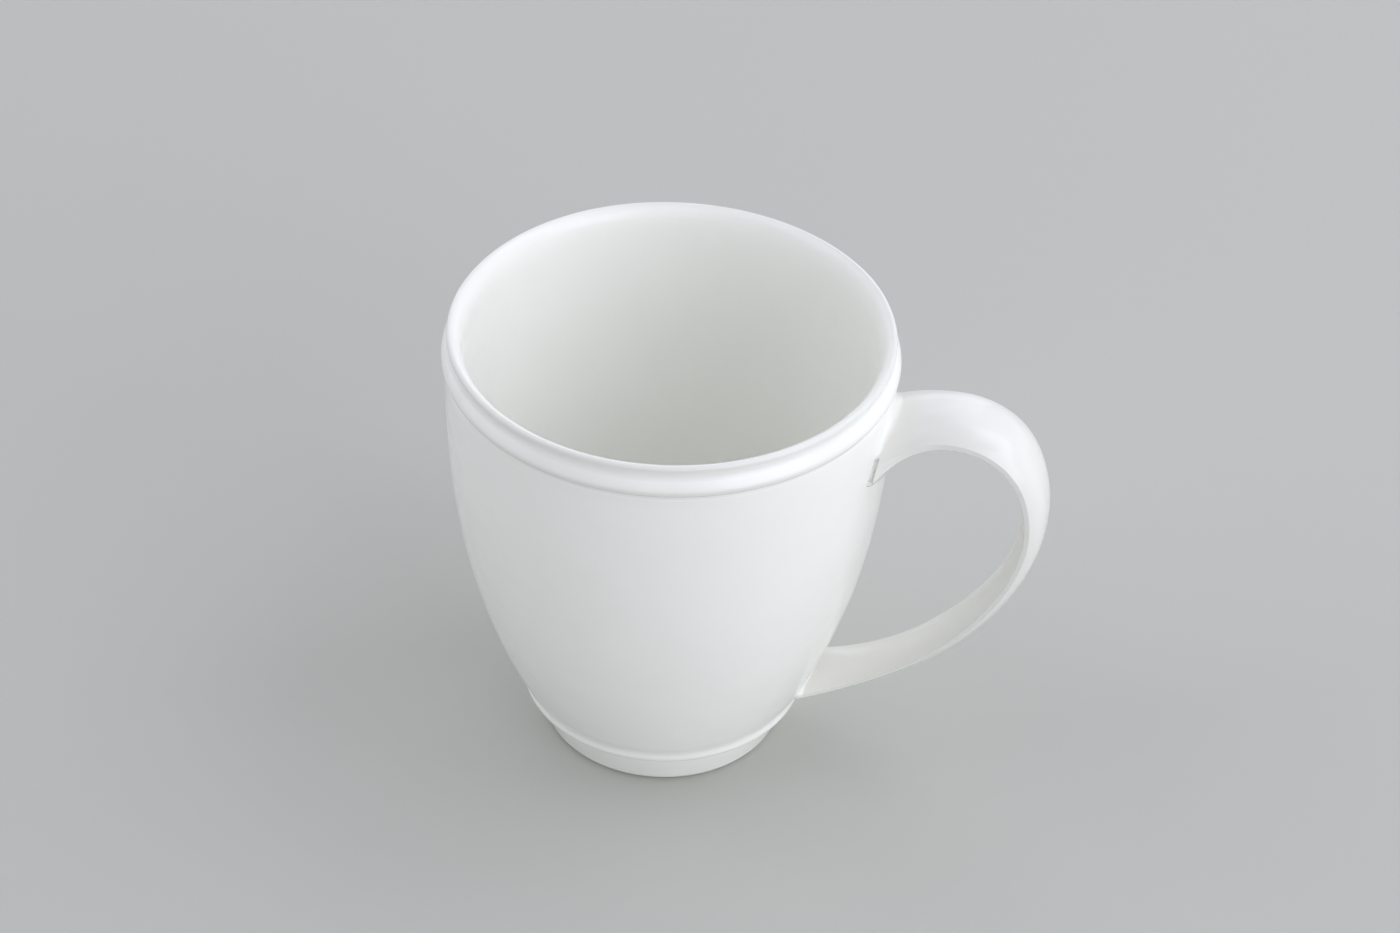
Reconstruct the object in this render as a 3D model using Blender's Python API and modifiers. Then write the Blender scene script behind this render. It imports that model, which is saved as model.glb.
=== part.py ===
"""Stoneware shaving mug, modelled in metres with +Z up.

A turned cup with a rolled lip, a bead under the lip and a foot ring, and a strap handle that two collars of
slip hold to the wall. The mug stands on z = 0 with its handle along +X. The origin is on the table under the
middle of the whole mug, handle included.
"""
import math

import bmesh
import bpy
from mathutils import Vector
from mathutils.geometry import interpolate_bezier

MM = 0.001

# Cup, outside
HEIGHT = 105.8 * MM
LIP_RADIUS = 47.0 * MM
LIP_ROLL = 0.8 * MM
LIP_GROOVE_RADIUS = 47.35 * MM
LIP_GROOVE_Z = 103.6 * MM
BEAD_RADIUS = 49.0 * MM
BEAD_TOP = 102.9 * MM
BEAD_FLATNESS = 0.7
WALL_TOP = 98.6 * MM
WALL_RADIUS = 48.25 * MM
WALL_BOTTOM = 13.0 * MM
WALL_BOTTOM_RADIUS = 32.2 * MM
WALL_CURVE = 2.5

# Foot
RIDGE_RADIUS = 32.0 * MM
RIDGE_TOP = 11.5 * MM
RIDGE_BOTTOM = 10.4 * MM
RIDGE_UNDERCUT = 0.7 * MM
FOOT_TOP_RADIUS = 29.4 * MM
FOOT_TOP = 8.8 * MM
FOOT_RADIUS = 25.9 * MM
FOOT_CONTACT_WIDTH = 2.2 * MM
FOOT_CHAMFER = 0.5 * MM
UNDERSIDE_RADIUS = 21.6 * MM
UNDERSIDE_Z = 3.2 * MM

# Cup, inside
INSIDE_TOP = 101.0 * MM
INSIDE_RADIUS = 44.6 * MM
INSIDE_FLOOR = 9.0 * MM
INSIDE_WALL_CURVE = 2.2
INSIDE_FLOOR_CURVE = 3.4

# Handle: distances from the cup's axis and heights of the middle of the strap
UPPER_ROOT = (46.0 * MM, 86.3 * MM)
UPPER_PULL = (59.0 * MM, 99.2 * MM)
OUTERMOST = (80.8 * MM, 71.4 * MM)
OUTER_PULL_UP = 24.6 * MM
OUTER_PULL_DOWN = 16.2 * MM
LOWER_PULL = (65.0 * MM, 26.4 * MM)
LOWER_ROOT = (34.0 * MM, 16.6 * MM)
STRAP_WIDTH = (18.0 * MM, 12.2 * MM)
STRAP_THICKNESS = (8.6 * MM, 3.6 * MM)
STRAP_THINNING = 0.53
STRAP_ROUNDNESS = 2.4

# Handle roots: how far along the strap they spread, and how much wider and thicker they end
UPPER_SPREAD = {"length": 18.0 * MM, "width": 9.4 * MM, "thickness": 2.0 * MM, "drop": 0.8 * MM}
LOWER_SPREAD = {"length": 26.0 * MM, "width": 4.8 * MM, "thickness": 0.4 * MM, "drop": 0.7 * MM}

# Slip collars between the handle's roots and the wall
CLEARANCE = 0.3 * MM
SLIP_THICKNESS = 1.0 * MM
UPPER_COLLAR = {"z": 88.6 * MM, "half_width": 14.2 * MM, "half_height": 8.4 * MM}
LOWER_COLLAR = {"z": 18.6 * MM, "half_width": 9.2 * MM, "half_height": 4.0 * MM}

# Fineness
TURN_STEPS = 72
STRAP_STEPS = 44
STRAP_SIDES = 24
COLLAR_SIDES = 32
COLLAR_RINGS = 5


def clear_scene():
    for item in list(bpy.data.objects):
        bpy.data.objects.remove(item, do_unlink=True)


def make_collection(name):
    collection = bpy.data.collections.new(name)
    bpy.context.scene.collection.children.link(collection)
    return collection


def make_glaze(name, color, roughness):
    material = bpy.data.materials.new(name)
    material.use_nodes = True
    shader = material.node_tree.nodes["Principled BSDF"]
    shader.inputs["Base Color"].default_value = (*color, 1.0)
    shader.inputs["Roughness"].default_value = roughness
    shader.inputs["Metallic"].default_value = 0.0
    return material


def smooth(mesh, crease=math.radians(40)):
    mesh.shade_smooth()
    mesh.set_sharp_from_angle(angle=crease)


def add_object(name, mesh, collection, parent, material=None):
    item = bpy.data.objects.new(name, mesh)
    collection.objects.link(item)
    item.parent = parent
    if material:
        mesh.materials.append(material)
    return item


# --- Outlines of the cup, as (distance from the axis, height) -------------------------------------------------

def wall_radius(z):
    """Outside radius of the wall: straight under the bead, and curving in faster and faster to the foot."""
    depth = (WALL_TOP - z) / (WALL_TOP - WALL_BOTTOM)
    return WALL_RADIUS - (WALL_RADIUS - WALL_BOTTOM_RADIUS) * max(depth, 0.0) ** WALL_CURVE


def inside_outline(count=14):
    """The hollow, from the middle of its floor up to the lip."""
    points = []
    for step in range(count + 1):
        angle = math.pi / 2 * step / count
        radius = INSIDE_RADIUS * math.sin(angle) ** (2 / INSIDE_FLOOR_CURVE)
        depth = (INSIDE_TOP - INSIDE_FLOOR) * math.cos(angle) ** (2 / INSIDE_WALL_CURVE)
        points.append((radius, INSIDE_TOP - depth))
    return points


def lip_outline(count=8):
    """The rolled lip, over the top from the inside to the outside."""
    points = []
    for step in range(count + 1):
        angle = math.pi * (1 - step / count)
        points.append((LIP_RADIUS + LIP_ROLL * math.cos(angle), HEIGHT - LIP_ROLL + LIP_ROLL * math.sin(angle)))
    return points


def bead_outline(count=6):
    """The bead, a flat arch that stands out between the lip's groove and the wall."""
    points = [(LIP_GROOVE_RADIUS, LIP_GROOVE_Z)]
    for step in range(count + 1):
        share = step / count
        base = LIP_GROOVE_RADIUS + (WALL_RADIUS - LIP_GROOVE_RADIUS) * share
        arch = math.sin(math.pi * share) ** BEAD_FLATNESS
        radius = base + (BEAD_RADIUS - (LIP_GROOVE_RADIUS + WALL_RADIUS) / 2) * arch
        points.append((radius, BEAD_TOP + (WALL_TOP - BEAD_TOP) * share))
    return points


def wall_outline(count=14):
    """The wall, from just under the bead down to the ridge above the foot."""
    points = []
    for step in range(1, count + 1):
        z = WALL_TOP + (WALL_BOTTOM - WALL_TOP) * step / count
        points.append((wall_radius(z), z))
    return points


def foot_outline():
    """The ridge, the foot ring that slants in to the table, and the hollow underside up to the axis."""
    contact_inner = FOOT_RADIUS - FOOT_CONTACT_WIDTH
    return [
        (RIDGE_RADIUS, RIDGE_TOP),
        (RIDGE_RADIUS, RIDGE_BOTTOM),
        (RIDGE_RADIUS - RIDGE_UNDERCUT, RIDGE_BOTTOM - RIDGE_UNDERCUT),
        (FOOT_TOP_RADIUS, FOOT_TOP),
        (FOOT_RADIUS + FOOT_CHAMFER, FOOT_CHAMFER),
        (FOOT_RADIUS, 0.0),
        (contact_inner, 0.0),
        (contact_inner - FOOT_CHAMFER, FOOT_CHAMFER),
        (UNDERSIDE_RADIUS, UNDERSIDE_Z),
        (0.0, UNDERSIDE_Z),
    ]


def turn(name, outline, collection, parent, material=None):
    """A solid turned about the cup's axis from an outline that runs down its outer side."""
    shape = bmesh.new()
    corners = [shape.verts.new((radius, 0.0, z)) for radius, z in outline]
    for upper, lower in zip(corners, corners[1:]):
        shape.edges.new((upper, lower))
    mesh = bpy.data.meshes.new(name)
    shape.to_mesh(mesh)
    shape.free()
    item = add_object(name, mesh, collection, parent, material)
    screw = item.modifiers.new("Turn", "SCREW")
    screw.axis = "Z"
    screw.steps = TURN_STEPS
    screw.render_steps = TURN_STEPS
    screw.use_merge_vertices = True
    screw.merge_threshold = 0.00002
    screw.use_smooth_shade = True
    return item


# --- Handle ---------------------------------------------------------------------------------------------------

def strap_path():
    """Middle of the strap, from inside the wall at the upper root to inside the wall at the lower root."""
    def point(pair):
        return Vector((pair[0], 0.0, pair[1]))

    outermost = point(OUTERMOST)
    upper = interpolate_bezier(point(UPPER_ROOT), point(UPPER_PULL), outermost + Vector((0, 0, OUTER_PULL_UP)),
                               outermost, STRAP_STEPS // 2 + 1)
    lower = interpolate_bezier(outermost, outermost - Vector((0, 0, OUTER_PULL_DOWN)), point(LOWER_PULL),
                               point(LOWER_ROOT), STRAP_STEPS // 2 + 1)
    return upper + lower[1:]


def spread_share(distance, spread):
    """1 where the strap meets the wall, falling smoothly to 0 at the end of the spread."""
    return max(0.0, 1.0 - distance / spread["length"]) ** 2


def strap_section(middle, along, width, thickness):
    """A rounded rectangle across the strap, with its width along Y."""
    outward = Vector((0, 1, 0)).cross(along)
    ring = []
    for side in range(STRAP_SIDES):
        angle = 2 * math.pi * side / STRAP_SIDES
        across = math.copysign(abs(math.cos(angle)) ** (2 / STRAP_ROUNDNESS), math.cos(angle))
        up = math.copysign(abs(math.sin(angle)) ** (2 / STRAP_ROUNDNESS), math.sin(angle))
        ring.append(middle + Vector((0, across * width / 2, 0)) + outward * (up * thickness / 2))
    return ring


def strap_rings():
    path = strap_path()
    lengths = [0.0]
    for start, end in zip(path, path[1:]):
        lengths.append(lengths[-1] + (end - start).length)
    rings = []
    for index, middle in enumerate(path):
        before = path[max(index - 1, 0)]
        after = path[min(index + 1, len(path) - 1)]
        along = (after - before).normalized()
        share = lengths[index] / lengths[-1]
        width = STRAP_WIDTH[0] + (STRAP_WIDTH[1] - STRAP_WIDTH[0]) * share
        thinning = share ** STRAP_THINNING
        thickness = STRAP_THICKNESS[0] + (STRAP_THICKNESS[1] - STRAP_THICKNESS[0]) * thinning
        centre = middle.copy()
        for spread, distance in ((UPPER_SPREAD, lengths[index]), (LOWER_SPREAD, lengths[-1] - lengths[index])):
            near_wall = spread_share(distance, spread)
            width += spread["width"] * near_wall
            thickness += spread["thickness"] * near_wall
            centre.z -= spread["drop"] * near_wall
        rings.append(strap_section(centre, along, width, thickness))
    return rings


def make_strap(name, collection, parent, material):
    shape = bmesh.new()
    rings = [[shape.verts.new(corner) for corner in ring] for ring in strap_rings()]
    for ring, following in zip(rings, rings[1:]):
        for side in range(STRAP_SIDES):
            beyond = (side + 1) % STRAP_SIDES
            shape.faces.new((ring[side], ring[beyond], following[beyond], following[side]))
    shape.faces.new(rings[0])
    shape.faces.new(rings[-1])
    bmesh.ops.recalc_face_normals(shape, faces=shape.faces)
    mesh = bpy.data.meshes.new(name)
    shape.to_mesh(mesh)
    shape.free()
    smooth(mesh)
    return add_object(name, mesh, collection, parent, material)


def make_wall_cutter(collection, parent):
    """The space that the wall, the slip and two clearances fill, which the strap's roots stop short of."""
    offset = SLIP_THICKNESS + 2 * CLEARANCE
    outline = [(0.0, WALL_TOP), (WALL_RADIUS + offset, WALL_TOP)]
    outline += [(radius + offset, z) for radius, z in wall_outline()]
    outline += [(0.0, WALL_BOTTOM)]
    cutter = turn("wall_cutter", outline, collection, parent)
    cutter.hide_render = True
    cutter.display_type = "WIRE"
    return cutter


def make_handle(collection, cutters, parent, material):
    handle = make_strap("handle", collection, parent, material)
    cut = handle.modifiers.new("Fit to wall", "BOOLEAN")
    cut.operation = "DIFFERENCE"
    cut.solver = "EXACT"
    cut.object = make_wall_cutter(cutters, parent)
    return handle


# --- Slip collars ---------------------------------------------------------------------------------------------

def point_on_wall(sideways, z, offset):
    """A point at an offset from the wall, a distance sideways round the wall from the handle's plane."""
    radius = wall_radius(z) + offset
    angle = sideways / radius
    return Vector((radius * math.cos(angle), radius * math.sin(angle), z))


def make_collar(name, size, collection, parent, material):
    """A pad of slip that follows the wall, with the rounded outline of the root that it holds."""
    shape = bmesh.new()
    middle = shape.verts.new(point_on_wall(0.0, size["z"], CLEARANCE))
    rings = []
    for ring_index in range(1, COLLAR_RINGS + 1):
        share = ring_index / COLLAR_RINGS
        ring = []
        for side in range(COLLAR_SIDES):
            angle = 2 * math.pi * side / COLLAR_SIDES
            across = math.copysign(abs(math.cos(angle)) ** (2 / STRAP_ROUNDNESS), math.cos(angle))
            up = math.copysign(abs(math.sin(angle)) ** (2 / STRAP_ROUNDNESS), math.sin(angle))
            sideways = across * share * size["half_width"]
            z = size["z"] + up * share * size["half_height"]
            ring.append(shape.verts.new(point_on_wall(sideways, z, CLEARANCE)))
        rings.append(ring)
    for side in range(COLLAR_SIDES):
        beyond = (side + 1) % COLLAR_SIDES
        shape.faces.new((middle, rings[0][side], rings[0][beyond]))
        for ring, following in zip(rings, rings[1:]):
            shape.faces.new((ring[side], following[side], following[beyond], ring[beyond]))
    mesh = bpy.data.meshes.new(name)
    shape.to_mesh(mesh)
    shape.free()
    smooth(mesh)
    collar = add_object(name, mesh, collection, parent, material)
    shell = collar.modifiers.new("Slip", "SOLIDIFY")
    shell.thickness = SLIP_THICKNESS
    shell.offset = 1.0
    return collar


def handle_reach():
    """Distance from the cup's axis to the outermost point of the handle."""
    return max(corner.x for ring in strap_rings() for corner in ring)


def main():
    clear_scene()
    mug = make_collection("shaving_mug")
    cutters = make_collection("cutters")

    axis = bpy.data.objects.new("cup_axis", None)
    mug.objects.link(axis)
    axis.location.x = (BEAD_RADIUS - handle_reach()) / 2

    cup_glaze = make_glaze("cup_glaze", (0.78, 0.79, 0.79), 0.22)
    handle_glaze = make_glaze("handle_glaze", (0.78, 0.79, 0.78), 0.24)
    slip_glaze = make_glaze("slip_glaze", (0.79, 0.79, 0.77), 0.28)

    outline = inside_outline() + lip_outline() + bead_outline() + wall_outline() + foot_outline()
    turn("cup_body", outline, mug, axis, cup_glaze)
    make_handle(mug, cutters, axis, handle_glaze)
    make_collar("upper_joint", UPPER_COLLAR, mug, axis, slip_glaze)
    make_collar("lower_joint", LOWER_COLLAR, mug, axis, slip_glaze)


main()
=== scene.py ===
"""Looks of the shaving mug: a glazed cup, its strap handle and the two collars of slip that join them."""

import math

import bpy
import numpy as np
from mathutils import Matrix, Vector, noise


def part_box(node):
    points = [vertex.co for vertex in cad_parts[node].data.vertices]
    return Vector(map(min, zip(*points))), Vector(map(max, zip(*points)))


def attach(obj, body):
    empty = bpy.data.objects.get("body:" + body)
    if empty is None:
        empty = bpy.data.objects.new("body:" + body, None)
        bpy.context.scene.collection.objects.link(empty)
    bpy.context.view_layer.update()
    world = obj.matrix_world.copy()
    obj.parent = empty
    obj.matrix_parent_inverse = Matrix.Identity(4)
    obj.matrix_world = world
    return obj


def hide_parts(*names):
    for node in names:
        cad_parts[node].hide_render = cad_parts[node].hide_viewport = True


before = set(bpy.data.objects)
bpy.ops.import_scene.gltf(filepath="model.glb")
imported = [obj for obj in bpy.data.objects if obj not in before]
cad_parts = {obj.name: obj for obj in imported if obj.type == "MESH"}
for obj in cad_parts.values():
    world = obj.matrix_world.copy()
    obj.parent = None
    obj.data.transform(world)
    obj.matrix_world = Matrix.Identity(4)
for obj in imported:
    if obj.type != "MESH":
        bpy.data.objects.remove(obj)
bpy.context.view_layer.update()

MM = 0.001

# --- Sizes ----------------------------------------------------------------------------------------

# From the frame: the cup's axis, its height and its largest radius
cup_low, cup_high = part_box("cup_body")
AXIS_X = (cup_low[0] + cup_high[0]) / 2
HEIGHT = cup_high[2]
BEAD_RADIUS = (cup_high[1] - cup_low[1]) / 2

# The cup's wall, as in the frame: widest under the bead, and curving in faster and faster towards the foot
WALL_TOP = HEIGHT - 7.2 * MM
WALL_RADIUS = BEAD_RADIUS - 0.75 * MM
WALL_BOTTOM = 13.0 * MM
WALL_BOTTOM_RADIUS = 32.2 * MM
WALL_CURVE = 2.5

# The plain part of the wall: from just under the fine groove to just above the ridge
PLAIN_WALL_TOP = WALL_TOP - 1.55 * MM
PLAIN_WALL_BOTTOM = WALL_BOTTOM + 1.4 * MM

# The hollow
INSIDE_TOP = HEIGHT - 4.8 * MM
INSIDE_RADIUS = 44.6 * MM
INSIDE_FLOOR = 9.0 * MM
INSIDE_WALL_CURVE = 2.2
INSIDE_FLOOR_CURVE = 3.4

# Drops of glaze on the lip: azimuth, depth below the top, size and how far each stands proud
LIP_DROPS = [
    (math.radians(-93.0), 1.2 * MM, 0.7 * MM, 0.22 * MM),
    (math.radians(-125.0), 1.3 * MM, 0.9 * MM, 0.20 * MM),
    (math.radians(38.0), 1.0 * MM, 0.8 * MM, 0.15 * MM),
    (math.radians(171.0), 1.5 * MM, 0.8 * MM, 0.14 * MM),
]
LIP_DROP_RADIUS = BEAD_RADIUS - 1.9 * MM

# Middle of the strap: distances from the cup's axis and heights
UPPER_ROOT = (46.0 * MM, 86.3 * MM)
UPPER_PULL = (59.0 * MM, 99.2 * MM)
OUTERMOST = (80.8 * MM, 71.4 * MM)
OUTER_PULL_UP = 24.6 * MM
OUTER_PULL_DOWN = 16.2 * MM
LOWER_PULL = (65.0 * MM, 26.4 * MM)
LOWER_ROOT = (34.0 * MM, 16.6 * MM)

# Width and thickness at the strap's upper and lower end, and what is added near the wall
STRAP_WIDTH = (18.0 * MM, 12.2 * MM)
STRAP_THICKNESS = (8.6 * MM, 3.6 * MM)
STRAP_THINNING = 0.53
UPPER_SPREAD = {"length": 18.0 * MM, "width": 9.4 * MM, "thickness": 2.0 * MM, "drop": 0.8 * MM}
LOWER_SPREAD = {"length": 26.0 * MM, "width": 4.8 * MM, "thickness": 0.4 * MM, "drop": 0.7 * MM}

# How deep the strap's ends lie in the wall, and how much shorter the strap is on its open flank
BURIED_DEPTH = 1.2 * MM
OPEN_FLANK_GAP = 2.3 * MM

# How far the finished surfaces lie inside the true ones, and the slip's edges under the finished surfaces
WALL_INSET = 0.18 * MM
STRAP_INSET = 0.09 * MM
SLIP_EDGE_SINK = 0.06 * MM

# How far the slip spreads: all round a root, more on the strap's outer and inner side, and less at the
# corners of the inner side
UPPER_SLIP_REACH = 1.3 * MM
UPPER_SLIP_OUTER = 1.2 * MM
UPPER_SLIP_INNER = 0.8 * MM
UPPER_SLIP_CORNER = 1.6 * MM
LOWER_SLIP_REACH = 0.65 * MM
LOWER_SLIP_INNER = 0.4 * MM

# How far the slip is sunk at the open flank, and the depth and the relative size of its hidden back
OPEN_FLANK_RECESS = 0.7 * MM
SLIP_BACK_DEPTH = 0.9 * MM
SLIP_BACK_WIDTH = 0.93
SLIP_BACK_HEIGHT = 0.9

# How the glaze pools, where the cup is also painted darker as painted shade in its grooves and hollows:
# samples along the outline, samples in its blur, and the bend (1/m) of a full pool
FLOW_SAMPLES = 3000
FLOW_BLUR_SAMPLES = 13
FULL_POOL_AND_SHADE_BEND = 900.0

# How deep the glaze lies, by the same measure, on the strap's edges and in the middle of the slip's fillets
STRAP_EDGE_GLAZE = -0.8
SLIP_GLAZE = 0.6

# The bare ring of clay under the foot: the middle of its width, half its width and how high it reaches
BARE_RADIUS = 24.75 * MM
BARE_WIDTH = 1.15 * MM
BARE_TOP = 0.6 * MM

# How far the cup departs from a true turned shape: an oval, a three-sided and a lopsided rim, a dip in the
# rim's height, slow waves and small ripples
RIM_OVAL = 0.10 * MM
RIM_THREE_SIDES = 0.05 * MM
RIM_LEAN = 0.15 * MM
RIM_DIP = 0.10 * MM
WALL_WAVES = 0.06 * MM
WALL_RIPPLES = 0.035 * MM

# The foot and the middle of the floor stay true: the departures fade in over this distance
STEADY_DISTANCE = 6.0 * MM

# What fingers leave along the strap: slow waves and long streaks
STRAP_WAVES = 0.07 * MM
STRAP_STREAKS = 0.035 * MM

# Fineness of the meshes. The strap's rings crowd towards both roots.
TURN_STEPS = 320
HOLLOW_STEPS = 70
WALL_STEPS = 70
CURVE_STEPS = 4
PATH_STEPS = 600
STRAP_RINGS = 260
STRAP_SIDES = 120
RING_CROWDING = 0.055
FILLET_STEPS = 10


# --- Small helpers --------------------------------------------------------------------------------

def make_mesh_object(name, points, faces, attributes=None):
    mesh = bpy.data.meshes.new(name)
    mesh.from_pydata([tuple(point) for point in points], [], faces)
    for attribute_name, values in (attributes or {}).items():
        attribute = mesh.attributes.new(attribute_name, "FLOAT", "POINT")
        attribute.data.foreach_set("value", np.asarray(values, dtype=np.float32))
    mesh.validate()
    mesh.shade_smooth()
    piece = bpy.data.objects.new(name, mesh)
    bpy.context.scene.collection.objects.link(piece)
    return piece


def band(start, following, sides):
    """Faces between two closed rings of points, given the first point of each."""
    faces = []
    for side in range(sides):
        beyond = (side + 1) % sides
        faces.append((start + side, start + beyond, following + beyond, following + side))
    return faces


def noise_at(points, scale, offset):
    """Smooth noise between -1 and 1 at each point, with features about 1/scale metres across."""
    shift = Vector(offset)
    return np.array([noise.noise(Vector(point) * scale + shift) for point in points])


def bell(values, centre, width):
    return np.exp(-((values - centre) / width) ** 2)


def ramp(values, start, width):
    """0 up to the start, and from there rising evenly to 1 over the width."""
    return np.clip((values - start) / width, 0.0, 1.0)


def soften(ring):
    """Values round a closed ring, each blended with its near neighbours."""
    weights = np.array([1, 2, 3, 2, 1]) / 9.0
    return sum(weight * np.roll(ring, shift, axis=0) for weight, shift in zip(weights, range(-2, 3)))


def smooth_curve(controls, steps):
    """A Catmull-Rom curve through the control points."""
    controls = np.asarray(controls, dtype=float)
    ends = np.vstack([2 * controls[0] - controls[1], controls, 2 * controls[-1] - controls[-2]])
    share = np.linspace(0, 1, steps, endpoint=False)[:, None]
    stretches = []
    for index in range(len(controls) - 1):
        a, b, c, d = ends[index:index + 4]
        stretches.append(0.5 * (2 * b + (c - a) * share + (2 * a - 5 * b + 4 * c - d) * share ** 2
                                + (3 * b - a - 3 * c + d) * share ** 3))
    return np.vstack(stretches + [controls[-1:]])


# --- Cup ------------------------------------------------------------------------------------------

def wall_radius(z):
    depth = np.clip((WALL_TOP - z) / (WALL_TOP - WALL_BOTTOM), 0.0, None)
    return WALL_RADIUS - (WALL_RADIUS - WALL_BOTTOM_RADIUS) * depth ** WALL_CURVE


def hollow_outline():
    """From the middle of the floor up the inside of the wall."""
    angle = np.linspace(0, math.pi / 2, HOLLOW_STEPS)
    radius = INSIDE_RADIUS * np.sin(angle) ** (2 / INSIDE_FLOOR_CURVE)
    depth = (INSIDE_TOP - INSIDE_FLOOR) * np.cos(angle) ** (2 / INSIDE_WALL_CURVE)
    return np.column_stack([radius, INSIDE_TOP - depth])


def rim_outline():
    """Over the rolled lip, through the soft groove and round the bead to the fine groove below.

    Millimetres from the bead's radius and from the top.
    """
    lip_and_bead = [
        (-4.28, -3.6), (-4.0, -2.4), (-3.5, -1.3), (-2.8, -0.47), (-2.0, -0.04),
        (-1.45, -0.22), (-1.18, -0.7), (-1.24, -1.3), (-1.42, -1.8), (-1.54, -2.3),
        (-1.5, -2.85), (-1.28, -3.4), (-0.9, -3.95), (-0.47, -4.6), (-0.14, -5.25),
        (0.0, -5.8), (-0.07, -6.3), (-0.28, -6.7), (-0.6, -7.02),
    ]
    curve = smooth_curve([(BEAD_RADIUS + r * MM, HEIGHT + z * MM) for r, z in lip_and_bead], CURVE_STEPS)
    groove = [(-0.86, -7.28), (-0.98, -7.6), (-0.97, -8.0), (-0.86, -8.4)]
    fine_groove = smooth_curve([(BEAD_RADIUS + r * MM, HEIGHT + z * MM) for r, z in groove], CURVE_STEPS)
    return np.vstack([curve, fine_groove])


def wall_outline():
    z = np.linspace(PLAIN_WALL_TOP, PLAIN_WALL_BOTTOM, WALL_STEPS)
    return np.column_stack([wall_radius(z), z])


def foot_outline():
    """The ridge, the slanting foot ring, the bare ring that it stands on and the hollow underside.

    Millimetres from the cup's axis and from the table.
    """
    ridge = [
        (32.28, 13.5), (31.8, 12.6), (31.62, 12.0), (31.62, 11.5), (31.7, 11.0),
        (31.74, 10.55), (31.6, 10.1), (31.1, 9.78), (30.1, 9.5), (29.4, 9.2),
        (29.15, 8.7), (28.75, 7.0), (28.0, 4.6), (27.1, 1.95), (26.85, 1.1),
        (26.5, 0.5), (26.0, 0.14), (25.3, 0.02), (24.3, 0.02), (23.8, 0.06),
        (23.45, 0.3), (23.15, 1.0), (22.6, 2.2), (21.7, 3.0), (20.0, 3.3),
        (14.0, 3.35), (7.0, 3.4), (0.0, 3.4),
    ]
    return smooth_curve([(r * MM, z * MM) for r, z in ridge], CURVE_STEPS - 1)


def cup_outline():
    outline = np.vstack([hollow_outline(), rim_outline(), wall_outline(), foot_outline()])
    outline[0, 0] = 0.0
    outline[-1, 0] = 0.0
    return outline


def glaze_flow_and_shade(outline):
    """How deep the glaze lies along an outline.

    Above 0 where it pools in a hollow, and below 0 where it thins over an edge. On the cup, the darker
    pooled colour is partly thicker glaze and partly painted shade in the grooves and hollows.
    """
    step = np.gradient(outline, axis=0)
    length = np.hypot(step[:, 0], step[:, 1]) + 1e-9
    heading = np.unwrap(np.arctan2(step[:, 1], step[:, 0]))
    bend = np.gradient(heading) / length
    place = np.cumsum(length)
    even = np.linspace(place[0], place[-1], FLOW_SAMPLES)
    bend_even = np.interp(even, place, bend)
    spread = bell(np.linspace(-2.5, 2.5, FLOW_BLUR_SAMPLES), 0.0, 1.0)
    soft = np.convolve(bend_even, spread / spread.sum(), mode="same")
    return np.clip(np.interp(place, even, soft) / FULL_POOL_AND_SHADE_BEND, -1.0, 1.0)


def hand_made(points, rim_share):
    """Small departures from a true turned shape, as a pulled and sponged cup has."""
    angle = np.arctan2(points[:, 1], points[:, 0])
    radial = RIM_OVAL * np.cos(2 * angle + 0.7) * rim_share
    radial += RIM_THREE_SIDES * np.sin(3 * angle + 2.1) * rim_share
    radial += WALL_WAVES * noise_at(points, 45.0, (3.1, 0.4, 7.7))
    radial += WALL_RIPPLES * noise_at(points, 160.0, (9.2, 5.5, 1.3))
    radial += RIM_LEAN * np.cos(angle) * rim_share ** 4
    lift = RIM_DIP * np.sin(2 * angle + 1.9) * rim_share ** 3
    return radial, lift


def share_of_height(z):
    return ramp(z, WALL_BOTTOM, HEIGHT - WALL_BOTTOM)


def finished_wall(points):
    """Points beside the wall, moved level as the hand-made wall departs from the true turned one."""
    rim_share = share_of_height(points[:, 2])
    radial = hand_made(points, rim_share)[0] - WALL_INSET * rim_share
    moved = points.copy()
    moved[:, :2] *= (1 + radial / np.hypot(points[:, 0], points[:, 1]))[:, None]
    return moved


def lip_bumps(points):
    """Drops of glaze that dried proud on the lip."""
    height = np.zeros(len(points))
    for azimuth, below_top, size, proud in LIP_DROPS:
        sideways = [LIP_DROP_RADIUS * math.cos(azimuth), LIP_DROP_RADIUS * math.sin(azimuth)]
        centre = np.array([*sideways, HEIGHT - below_top])
        distance = np.linalg.norm(points - centre, axis=1)
        height += proud * np.exp(-(distance / size) ** 2)
    return height


def turned_faces(rows):
    """Faces of a turned shape: its rings of points come first, then the middles of its two ends."""
    faces = []
    for row in range(rows - 1):
        start = row * TURN_STEPS
        following = start + TURN_STEPS
        for step in range(TURN_STEPS):
            beyond = (step + 1) % TURN_STEPS
            faces.append((start + step, following + step, following + beyond, start + beyond))
    last = (rows - 1) * TURN_STEPS
    floor_centre = rows * TURN_STEPS
    underside_centre = floor_centre + 1
    for step in range(TURN_STEPS):
        beyond = (step + 1) % TURN_STEPS
        faces.append((floor_centre, step, beyond))
        faces.append((underside_centre, last + beyond, last + step))
    return faces


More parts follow.
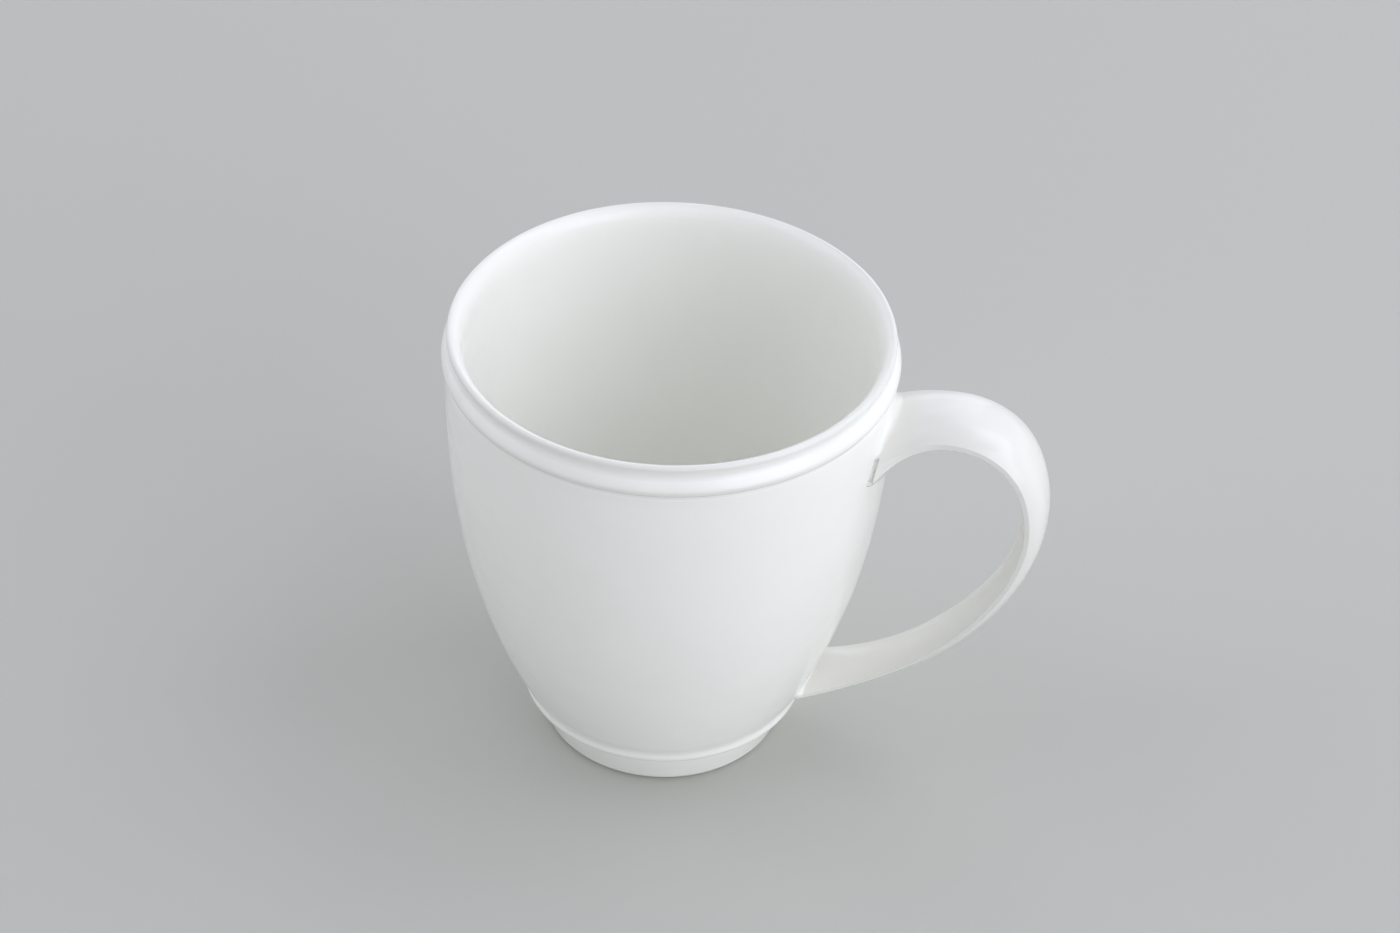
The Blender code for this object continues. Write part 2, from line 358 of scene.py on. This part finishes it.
def make_cup():
    outline = cup_outline()
    flow_and_shade = glaze_flow_and_shade(outline)
    angles = np.arange(TURN_STEPS) * 2 * math.pi / TURN_STEPS
    inner = outline[1:-1]
    radius = np.repeat(inner[:, 0], TURN_STEPS)
    z = np.repeat(inner[:, 1], TURN_STEPS)
    angle = np.tile(angles, len(inner))
    points = np.column_stack([radius * np.cos(angle), radius * np.sin(angle), z])
    rim_share = share_of_height(z)
    radial, lift = hand_made(points, rim_share)
    radial += lip_bumps(points)
    steady = ramp(z, 0.0, STEADY_DISTANCE) * ramp(radius, 0.0, STEADY_DISTANCE)
    radial = (radial - WALL_INSET * rim_share) * steady
    points[:, 0] += radial * np.cos(angle) + AXIS_X
    points[:, 1] += radial * np.sin(angle)
    points[:, 2] += np.minimum(lift, 0.0) * steady
    points = np.vstack([points, [AXIS_X, 0.0, outline[0, 1]], [AXIS_X, 0.0, outline[-1, 1]]])
    # Where the glaze pools in the cup's grooves and hollows, the cup is painted darker: partly thicker
    # glaze, partly painted shade
    pool_and_shade = np.concatenate([np.repeat(flow_and_shade[1:-1], TURN_STEPS), [0.0, 0.0]])
    contact = bell(outline[:, 0], BARE_RADIUS, BARE_WIDTH) * (outline[:, 1] < BARE_TOP)
    bare = np.concatenate([np.repeat(contact[1:-1], TURN_STEPS), [0.0, 0.0]])
    return make_mesh_object("cup", points, turned_faces(len(inner)), {"pool_and_shade": pool_and_shade, "bare": bare})


# --- Strap handle ---------------------------------------------------------------------------------

def bezier(start, start_pull, end_pull, end, steps):
    share = np.linspace(0, 1, steps)[:, None]
    rest = 1 - share
    return (rest ** 3 * np.array(start) + 3 * rest ** 2 * share * np.array(start_pull)
            + 3 * rest * share ** 2 * np.array(end_pull) + share ** 3 * np.array(end))


def strap_path():
    """Middle of the strap, evenly spaced, as (distance from the cup's axis, height), and its length."""
    above = (OUTERMOST[0], OUTERMOST[1] + OUTER_PULL_UP)
    below = (OUTERMOST[0], OUTERMOST[1] - OUTER_PULL_DOWN)
    upper = bezier(UPPER_ROOT, UPPER_PULL, above, OUTERMOST, PATH_STEPS)
    lower = bezier(OUTERMOST, below, LOWER_PULL, LOWER_ROOT, PATH_STEPS)
    path = np.vstack([upper, lower[1:]])
    lengths = np.concatenate([[0.0], np.cumsum(np.linalg.norm(np.diff(path, axis=0), axis=1))])
    even = np.linspace(0.0, lengths[-1], PATH_STEPS)
    spaced = np.column_stack([np.interp(even, lengths, path[:, 0]), np.interp(even, lengths, path[:, 1])])
    return spaced, even


def strap_outline():
    """Half-width and half-thickness shares round the strap: crowned, and softer outside towards -Y."""
    squareness = 2.35
    widening = 1.10
    thickening = 1.35
    inner_side = 0.40
    inner_crown = 2.2
    angle = np.linspace(0, 2 * math.pi, STRAP_SIDES, endpoint=False)
    power = 2 / squareness
    across = np.sign(np.cos(angle)) * np.abs(np.cos(angle)) ** power
    up = np.sign(np.sin(angle)) * np.abs(np.sin(angle)) ** power
    flat_across = np.clip(across * widening, -1.0, 1.0)
    outer_side = 0.19 + 0.21 * flat_across
    outer_crown = 2.7 - 0.5 * flat_across
    outer_face = outer_side + (1 - outer_side) * (1 - np.abs(flat_across) ** outer_crown)
    inner_face = inner_side + (1 - inner_side) * (1 - np.abs(flat_across) ** inner_crown)
    faced_up = np.clip(up * thickening, -inner_face, outer_face)
    return soften(soften(flat_across)), soften(soften(faced_up))


def strap_lines(inset=0.0):
    """Lines along the strap, as points[path step, side], reaching into the wall at both roots.

    With an inset, they run that far under the strap's surface.
    """
    path, lengths = strap_path()
    along = np.gradient(path, axis=0)
    along /= np.linalg.norm(along, axis=1)[:, None]
    outward = np.column_stack([-along[:, 1], along[:, 0]])
    share = lengths / lengths[-1]
    width = STRAP_WIDTH[0] + (STRAP_WIDTH[1] - STRAP_WIDTH[0]) * share
    thickness = STRAP_THICKNESS[0] + (STRAP_THICKNESS[1] - STRAP_THICKNESS[0]) * share ** STRAP_THINNING
    drop = np.zeros_like(share)
    for spread, distance in ((UPPER_SPREAD, lengths), (LOWER_SPREAD, lengths[-1] - lengths)):
        near_wall = np.clip(1 - distance / spread["length"], 0.0, None) ** 2
        width = width + spread["width"] * near_wall
        thickness = thickness + spread["thickness"] * near_wall
        drop = drop + spread["drop"] * near_wall
    across, up = strap_outline()
    points = np.empty((len(path), STRAP_SIDES, 3))
    rise = up * (thickness[:, None] / 2 - inset)
    points[..., 0] = path[:, 0, None] + outward[:, 0, None] * rise
    points[..., 1] = across * (width[:, None] / 2 - inset)
    points[..., 2] = path[:, 1, None] - drop[:, None] + outward[:, 1, None] * rise
    return points


def clear_of_wall(points):
    """Distance of each point outside the wall's surface, measured level."""
    return np.hypot(points[..., 0], points[..., 1]) - wall_radius(points[..., 2])


def crossings(lines, offset):
    """Where along each line, in path steps, it leaves the wall at the upper root and enters it at the lower.

    The offset, one for all sides or one for each, is how far outside the wall's surface the crossing counts.
    """
    clear = clear_of_wall(lines) - offset
    middle = len(lines) // 2
    leaves = np.empty(lines.shape[1])
    enters = np.empty(lines.shape[1])
    for side in range(lines.shape[1]):
        before = np.nonzero(clear[:middle, side] <= 0)[0]
        first = before[-1] if len(before) else 0
        rise = clear[first + 1, side] - clear[first, side]
        leaves[side] = first + np.clip(-clear[first, side] / rise, 0.0, 1.0)
        after = np.nonzero(clear[middle:, side] <= 0)[0]
        last = middle + after[0] if len(after) else len(lines) - 1
        fall = clear[last, side] - clear[last - 1, side]
        enters[side] = last - 1 + np.clip(-clear[last - 1, side] / fall, 0.0, 1.0)
    return leaves, enters


def sample(lines, steps):
    """Points on the lines at fractional path steps[row, side]."""
    low = np.clip(np.floor(steps).astype(int), 0, len(lines) - 2)
    share = (steps - low)[..., None]
    sides = np.arange(lines.shape[1])[None, :]
    return lines[low, sides] * (1 - share) + lines[low + 1, sides] * share


def worn_by_hand(points):
    """Slow waves and a few faint flats that fingers leave along a pulled strap."""
    flat_points = points.reshape(-1, 3)
    slow = noise_at(flat_points, 60.0, (1.7, 8.8, 4.2))
    stretched = flat_points * np.array([0.35, 2.6, 0.35])
    streaks = noise_at(stretched, 220.0, (6.1, 2.2, 0.9))
    return (STRAP_WAVES * slow + STRAP_STREAKS * streaks).reshape(points.shape[:2])


def finished_strap(rings):
    """Rings of points round the strap, moved in or out as fingers wore it, and sunk by the inset."""
    direction = rings - rings.mean(axis=1, keepdims=True)
    direction /= np.linalg.norm(direction, axis=2, keepdims=True)
    return rings + direction * (worn_by_hand(rings) - STRAP_INSET)[..., None]


def open_flank():
    """1 on the sides of the upper root's -Y flank that the slip never filled, and 0 elsewhere."""
    across, up = strap_outline()
    outer = ramp(-across, 0.80, 0.07)
    below_edge = ramp(-up, -0.34, 0.10)
    above_corner = ramp(up, -0.45, 0.08)
    return outer * below_edge * above_corner


def make_strap(lines):
    leaves = crossings(lines, OPEN_FLANK_GAP * open_flank() - BURIED_DEPTH)[0]
    enters = crossings(lines, -BURIED_DEPTH)[1]
    share = np.linspace(0, 1, STRAP_RINGS)[:, None]
    eased = share - RING_CROWDING * np.sin(2 * math.pi * share)
    points = finished_strap(sample(lines, leaves + (enters - leaves) * eased))
    count = STRAP_RINGS * STRAP_SIDES
    flat_points = points.reshape(-1, 3)
    ends = np.vstack([points[0].mean(axis=0), points[-1].mean(axis=0)])
    all_points = np.vstack([flat_points, ends]) + np.array([AXIS_X, 0.0, 0.0])
    faces = []
    for row in range(STRAP_RINGS - 1):
        faces += band(row * STRAP_SIDES, (row + 1) * STRAP_SIDES, STRAP_SIDES)
    last = (STRAP_RINGS - 1) * STRAP_SIDES
    for side in range(STRAP_SIDES):
        beyond = (side + 1) % STRAP_SIDES
        faces.append((count, beyond, side))
        faces.append((count + 1, last + side, last + beyond))
    across, up = strap_outline()
    edge = bell(np.abs(across), 1.0, 0.10) * bell(np.abs(up), 0.3, 0.2)
    pool_and_shade = np.concatenate([np.tile(STRAP_EDGE_GLAZE * edge, STRAP_RINGS), [0.0, 0.0]])
    return make_mesh_object("strap_handle", all_points, faces, {"pool_and_shade": pool_and_shade, "bare": np.zeros(len(pool_and_shade))})


# --- Slip collars ---------------------------------------------------------------------------------

def on_wall(sideways, z, offset):
    """Points at distances round the wall from the handle's plane and at heights, that far off the wall."""
    radius = wall_radius(z) + offset
    angle = sideways / wall_radius(z)
    return np.column_stack([radius * np.cos(angle), radius * np.sin(angle), z])


def unrolled(points):
    """Places on the wall as (distance round the wall from the handle's plane, height)."""
    angle = np.arctan2(points[:, 1], points[:, 0])
    return np.column_stack([angle * np.hypot(points[:, 0], points[:, 1]), points[:, 2]])


def make_collar(name, lines, sunk_lines, steps, inward, reach, recess):
    """A fillet of slip round one root, sunk by the recess where it never reached the strap's flank.

    The steps say where the lines cross the wall, and inward is 1 where they leave it and -1 where they
    enter it. The reach is how far the slip spreads over the wall and up the strap.
    """
    climb = reach + 3 * recess
    root = sample(lines, steps[None, :])[0]
    sunk_strap = finished_strap(sample(sunk_lines, (steps + inward * climb / strap_step())[None, :]))[0]
    root[:, 1] += recess
    sunk_strap[:, 1] += recess
    flat = unrolled(root)
    tangent = np.roll(flat, -1, axis=0) - np.roll(flat, 1, axis=0)
    tangent /= np.linalg.norm(tangent, axis=1)[:, None] + 1e-12
    normal = np.column_stack([tangent[:, 1], -tangent[:, 0]])
    centre = flat.mean(axis=0)
    if np.sum(normal * (flat - centre)) < 0:
        normal = -normal
    for _ in range(3):
        normal = soften(normal)
    normal /= np.linalg.norm(normal, axis=1)[:, None]
    spread = flat + normal * reach[:, None]
    foot = finished_wall(on_wall(spread[:, 0], spread[:, 1], -SLIP_EDGE_SINK))
    back_z = centre[1] + (flat[:, 1] - centre[1]) * SLIP_BACK_HEIGHT
    buried = on_wall(flat[:, 0] * SLIP_BACK_WIDTH, back_z, -SLIP_BACK_DEPTH)
    rows = []
    for step in range(FILLET_STEPS + 1):
        share = step / FILLET_STEPS
        rows.append((1 - share) ** 2 * foot + 2 * share * (1 - share) * root + share ** 2 * sunk_strap)
    rows.append(buried)
    points = np.vstack(rows) + np.array([AXIS_X, 0.0, 0.0])
    sides = len(root)
    faces = []
    for row in range(len(rows)):
        faces += band(row * sides, ((row + 1) % len(rows)) * sides, sides)
    depths = [SLIP_GLAZE * math.sin(math.pi * min(row / FILLET_STEPS, 1.0)) for row in range(len(rows))]
    pool_and_shade = np.repeat(depths, sides)
    return make_mesh_object(name, points, faces, {"pool_and_shade": pool_and_shade, "bare": np.zeros(len(points))})


def strap_step():
    """Length of one path step along the middle of the strap."""
    return strap_path()[1][1]


def slip_reaches():
    """How far the slip spreads from each side of the strap, at the upper root and at the lower."""
    across, up = strap_outline()
    under = ramp(-up, 0.0, 0.4)
    upper = UPPER_SLIP_REACH + UPPER_SLIP_OUTER * ramp(up, 0.0, 1.0)
    upper = upper + under * (UPPER_SLIP_INNER - UPPER_SLIP_CORNER * across ** 6)
    lower = LOWER_SLIP_REACH + LOWER_SLIP_INNER * ramp(-up, 0.0, 1.0)
    return upper * (1 - open_flank()), lower


# --- Materials ------------------------------------------------------------------------------------

def add_node(tree, kind, **values):
    node = tree.nodes.new(kind)
    for key, value in values.items():
        if key in node.inputs:
            node.inputs[key].default_value = value
        else:
            setattr(node, key, value)
    return node


def noise_node(tree, place, scale, detail=3.0, roughness=0.5):
    node = add_node(tree, "ShaderNodeTexNoise")
    node.inputs["Scale"].default_value = scale
    node.inputs["Detail"].default_value = detail
    node.inputs["Roughness"].default_value = roughness
    tree.links.new(place, node.inputs["Vector"])
    return node.outputs["Fac"]


def remap(tree, value, low, high, to_low, to_high):
    node = add_node(tree, "ShaderNodeMapRange")
    node.inputs["From Min"].default_value = low
    node.inputs["From Max"].default_value = high
    node.inputs["To Min"].default_value = to_low
    node.inputs["To Max"].default_value = to_high
    tree.links.new(value, node.inputs["Value"])
    return node.outputs["Result"]


def blend_colors(tree, share, first, second):
    node = tree.nodes.new("ShaderNodeMix")
    node.data_type = "RGBA"
    tree.links.new(share, node.inputs["Factor"])
    for socket, value in ((node.inputs["A"], first), (node.inputs["B"], second)):
        if isinstance(value, bpy.types.NodeSocket):
            tree.links.new(value, socket)
        else:
            socket.default_value = (*value, 1.0)
    return node.outputs["Result"]


def maths(tree, operation, first, second):
    node = add_node(tree, "ShaderNodeMath", operation=operation)
    for socket, value in zip(node.inputs, (first, second)):
        if isinstance(value, bpy.types.NodeSocket):
            tree.links.new(value, socket)
        else:
            socket.default_value = value
    return node.outputs["Value"]


def attribute_node(tree, name):
    return add_node(tree, "ShaderNodeAttribute", attribute_name=name).outputs["Fac"]


def bump_node(tree, height, strength, distance, normal=None):
    node = add_node(tree, "ShaderNodeBump")
    node.inputs["Strength"].default_value = strength
    node.inputs["Distance"].default_value = distance
    tree.links.new(height, node.inputs["Height"])
    if normal:
        tree.links.new(normal, node.inputs["Normal"])
    return node.outputs["Normal"]


# Colours of the glaze: on the cup, on the handle, thin over an edge and pooled in a hollow, where the cup is
# darker, partly as painted shade. The bare clay.
CUP_GLAZE = (0.952, 0.955, 0.904)
HANDLE_GLAZE = (0.86, 0.853, 0.80)
THIN_GLAZE = (0.84, 0.845, 0.79)
POOLED_GLAZE_AND_SHADE = (0.91, 0.918, 0.87)
BARE_CLAY = (0.66, 0.62, 0.55)

# Noise in the glaze: clouds of tone, smears of gloss, sags and orange peel. Grit in the bare clay.
CLOUD_SCALE = 38.0
SMEAR_SCALE = 90.0
SAG_SCALE = 120.0
PEEL_SCALE = 620.0
GRIT_SCALE = 2600.0
SAG_HEIGHT = 0.22 * MM
PEEL_HEIGHT = 0.05 * MM
GRIT_HEIGHT = 0.12 * MM

# Roughness of the glaze where it is smoothest and where it is smeared, and what bare clay adds to it
SMOOTH_ROUGHNESS = 0.19
SMEARED_ROUGHNESS = 0.25
CLAY_ROUGHNESS = 0.5
GLAZE_IOR = 1.46
COAT_WEIGHT = 0.1
COAT_ROUGHNESS = 0.09
COAT_IOR = 1.5


def make_glaze(name, glaze):
    """White glaze: it shows the clay's warmth where it thins, and is cooler and, on the cup, darker where it
    pools, the darkening being partly painted shade in the grooves and hollows.
    """
    material = bpy.data.materials.new(name)
    material.use_nodes = True
    tree = material.node_tree
    shader = tree.nodes["Principled BSDF"]
    place = add_node(tree, "ShaderNodeTexCoord").outputs["Object"]
    pool_and_shade = attribute_node(tree, "pool_and_shade")
    bare = attribute_node(tree, "bare")

    cloud = noise_node(tree, place, CLOUD_SCALE, detail=4.0, roughness=0.55)
    tone = blend_colors(tree, remap(tree, cloud, 0.35, 0.65, 0.0, 1.0), glaze, [c * 0.985 for c in glaze])
    # Pooled colour: on the cup it is darker, partly as painted shade in the grooves and hollows
    tone = blend_colors(tree, remap(tree, pool_and_shade, 0.0, 0.9, 0.0, 1.0), tone, POOLED_GLAZE_AND_SHADE)
    tone = blend_colors(tree, remap(tree, pool_and_shade, 0.0, -0.9, 0.0, 1.0), tone, THIN_GLAZE)

    grit = noise_node(tree, place, GRIT_SCALE, detail=2.0, roughness=0.6)
    clay_tone = blend_colors(tree, grit, BARE_CLAY, [c * 0.86 for c in BARE_CLAY])
    bare_share = remap(tree, bare, 0.35, 0.55, 0.0, 1.0)
    tree.links.new(blend_colors(tree, bare_share, tone, clay_tone), shader.inputs["Base Color"])

    smear = noise_node(tree, place, SMEAR_SCALE, detail=3.0, roughness=0.6)
    roughness = remap(tree, smear, 0.3, 0.7, SMOOTH_ROUGHNESS, SMEARED_ROUGHNESS)
    roughness = maths(tree, "ADD", roughness, maths(tree, "MULTIPLY", bare_share, CLAY_ROUGHNESS))
    tree.links.new(roughness, shader.inputs["Roughness"])

    peel = noise_node(tree, place, PEEL_SCALE, detail=2.0)
    sag = noise_node(tree, place, SAG_SCALE, detail=2.0)
    normal = bump_node(tree, sag, strength=0.35, distance=SAG_HEIGHT)
    normal = bump_node(tree, peel, strength=0.16, distance=PEEL_HEIGHT, normal=normal)
    bare_grit = maths(tree, "MULTIPLY", grit, bare_share)
    normal = bump_node(tree, bare_grit, strength=0.6, distance=GRIT_HEIGHT, normal=normal)
    tree.links.new(normal, shader.inputs["Normal"])

    shader.inputs["IOR"].default_value = GLAZE_IOR
    shader.inputs["Coat Weight"].default_value = COAT_WEIGHT
    shader.inputs["Coat Roughness"].default_value = COAT_ROUGHNESS
    shader.inputs["Coat IOR"].default_value = COAT_IOR
    return material


# --- Stage, light and camera ----------------------------------------------------------------------

FLOOR_COLOR = (0.52, 0.525, 0.487, 1.0)
FLOOR_ROUGHNESS = 0.8
FLOOR_SPECULAR = 0.2
FLOOR_HALF_SIDE = 1.3


def make_stage():
    """A square of plain pale paper."""
    mesh = bpy.data.meshes.new("floor")
    half = FLOOR_HALF_SIDE
    corners = [(-half, -half, 0), (half, -half, 0), (half, half, 0), (-half, half, 0)]
    mesh.from_pydata(corners, [], [(0, 1, 2, 3)])
    floor = bpy.data.objects.new("floor", mesh)
    bpy.context.scene.collection.objects.link(floor)
    material = bpy.data.materials.new("floor_paper")
    material.use_nodes = True
    shader = material.node_tree.nodes["Principled BSDF"]
    shader.inputs["Base Color"].default_value = FLOOR_COLOR
    shader.inputs["Roughness"].default_value = FLOOR_ROUGHNESS
    shader.inputs["Specular IOR Level"].default_value = FLOOR_SPECULAR
    mesh.materials.append(material)


# Soft boxes on two rings, all aimed at the mug: places as (azimuth, elevation) in degrees, and power
SOFT_BOX_DISTANCE = 1.7
SOFT_BOX_SIZE = 1.3
KEY_PLACES = [(-32, 22)]
TOP_PLACES = [(13, 52)]
BACK_PLACES = [(103, 22), (148, 22), (193, 22), (193, 52)]
FILL_PLACES = [(-77, 22), (13, 22), (58, 22), (-77, 52), (58, 52), (103, 52)]
KEY_WATTS = 11.5
TOP_WATTS = 9.0
BACK_WATTS = 5.0
FILL_WATTS = 2.5
DAYLIGHT = (0.988, 1.0, 1.105)

# The pale wall round the stage: its colour, and its strength below and above two sines of the elevation
WALL_COLOR = (0.965, 1.0, 1.02, 1.0)
HORIZON_STRENGTH = 0.42
HORIZON_SINE = 0.12
OVERHEAD_STRENGTH = 0.07
OVERHEAD_SINE = 0.5


def add_soft_box(azimuth, elevation, power):
    level = math.cos(elevation)
    direction = Vector((level * math.cos(azimuth), level * math.sin(azimuth), math.sin(elevation)))
    target = Vector((0.0, 0.0, HEIGHT / 2))
    data = bpy.data.lights.new("soft_box", "AREA")
    data.shape = "SQUARE"
    data.size = SOFT_BOX_SIZE
    data.energy = power
    data.color = DAYLIGHT
    lamp = bpy.data.objects.new("soft_box", data)
    lamp.location = direction * SOFT_BOX_DISTANCE
    lamp.rotation_mode = "QUATERNION"
    lamp.rotation_quaternion = (target - lamp.location).to_track_quat("-Z", "Y")
    bpy.context.scene.collection.objects.link(lamp)


def make_light():
    """The soft boxes, and a pale wall all round that darkens upwards."""
    world = bpy.data.worlds.new("studio")
    world.use_nodes = True
    tree = world.node_tree
    sky = tree.nodes["Background"]
    sky.inputs["Color"].default_value = WALL_COLOR
    direction = add_node(tree, "ShaderNodeTexCoord").outputs["Generated"]
    parts = add_node(tree, "ShaderNodeSeparateXYZ")
    tree.links.new(direction, parts.inputs["Vector"])
    sine = parts.outputs["Z"]
    strength = remap(tree, sine, HORIZON_SINE, OVERHEAD_SINE, HORIZON_STRENGTH, OVERHEAD_STRENGTH)
    tree.links.new(strength, sky.inputs["Strength"])
    bpy.context.scene.world = world
    kinds = [
        (KEY_PLACES, KEY_WATTS),
        (TOP_PLACES, TOP_WATTS),
        (BACK_PLACES, BACK_WATTS),
        (FILL_PLACES, FILL_WATTS),
    ]
    for places, power in kinds:
        for azimuth, elevation in places:
            add_soft_box(math.radians(azimuth), math.radians(elevation), power)
    bpy.context.scene.view_settings.view_transform = "Standard"


CAMERA_AZIMUTH = math.radians(13.2)
CAMERA_ELEVATION = math.radians(39.34)
CAMERA_DISTANCE = 0.8
CAMERA_ROLL = math.radians(1.84)
CAMERA_LENS = 93.3
CAMERA_SENSOR_WIDTH = 36.0
AIM_HEIGHT = 53.5 * MM
AIM_RIGHT = 7.05 * MM
AIM_UP = 11.76 * MM


def make_camera():
    """Looks down at the cup from -Y, a little from the handle's side, and aims a little high and right."""
    back = Vector((math.sin(CAMERA_AZIMUTH) * math.cos(CAMERA_ELEVATION),
                   -math.cos(CAMERA_AZIMUTH) * math.cos(CAMERA_ELEVATION), math.sin(CAMERA_ELEVATION)))
    right = Vector((math.cos(CAMERA_AZIMUTH), math.sin(CAMERA_AZIMUTH), 0.0))
    up = back.cross(right)
    middle = Vector((AXIS_X, 0.0, AIM_HEIGHT))
    location = middle + back * CAMERA_DISTANCE
    target = middle + right * AIM_RIGHT + up * AIM_UP
    forward = (target - location).normalized()
    right = forward.cross(Vector((0, 0, 1))).normalized()
    up = right.cross(forward)
    rolled_right = right * math.cos(CAMERA_ROLL) + up * math.sin(CAMERA_ROLL)
    rolled_up = up * math.cos(CAMERA_ROLL) - right * math.sin(CAMERA_ROLL)
    data = bpy.data.cameras.new("camera")
    data.lens = CAMERA_LENS
    data.sensor_width = CAMERA_SENSOR_WIDTH
    camera = bpy.data.objects.new("camera", data)
    axes = Matrix((rolled_right, rolled_up, -forward)).transposed()
    camera.matrix_world = Matrix.Translation(location) @ axes.to_4x4()
    bpy.context.scene.collection.objects.link(camera)
    bpy.context.scene.camera = camera


# --- Assembly -------------------------------------------------------------------------------------

def finish_piece(piece, node, material):
    piece.data.materials.append(material)
    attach(piece, "root")
    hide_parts(node)


def main():
    make_camera()
    make_stage()
    make_light()

    lines = strap_lines()
    sunk_lines = strap_lines(SLIP_EDGE_SINK)
    leaves, enters = crossings(lines, 0.0)
    upper_reach, lower_reach = slip_reaches()
    recess = OPEN_FLANK_RECESS * open_flank()
    finish_piece(make_cup(), "cup_body", make_glaze("cup_glaze_fine", CUP_GLAZE))
    strap = make_strap(lines)
    finish_piece(strap, "handle", make_glaze("handle_glaze_fine", HANDLE_GLAZE))
    slip = make_glaze("slip_glaze_fine", HANDLE_GLAZE)
    upper_slip = make_collar("upper_slip", lines, sunk_lines, leaves, 1.0, upper_reach, recess)
    finish_piece(upper_slip, "upper_joint", slip)
    lower_slip = make_collar("lower_slip", lines, sunk_lines, enters, -1.0, lower_reach, 0.0)
    finish_piece(lower_slip, "lower_joint", slip)


main()
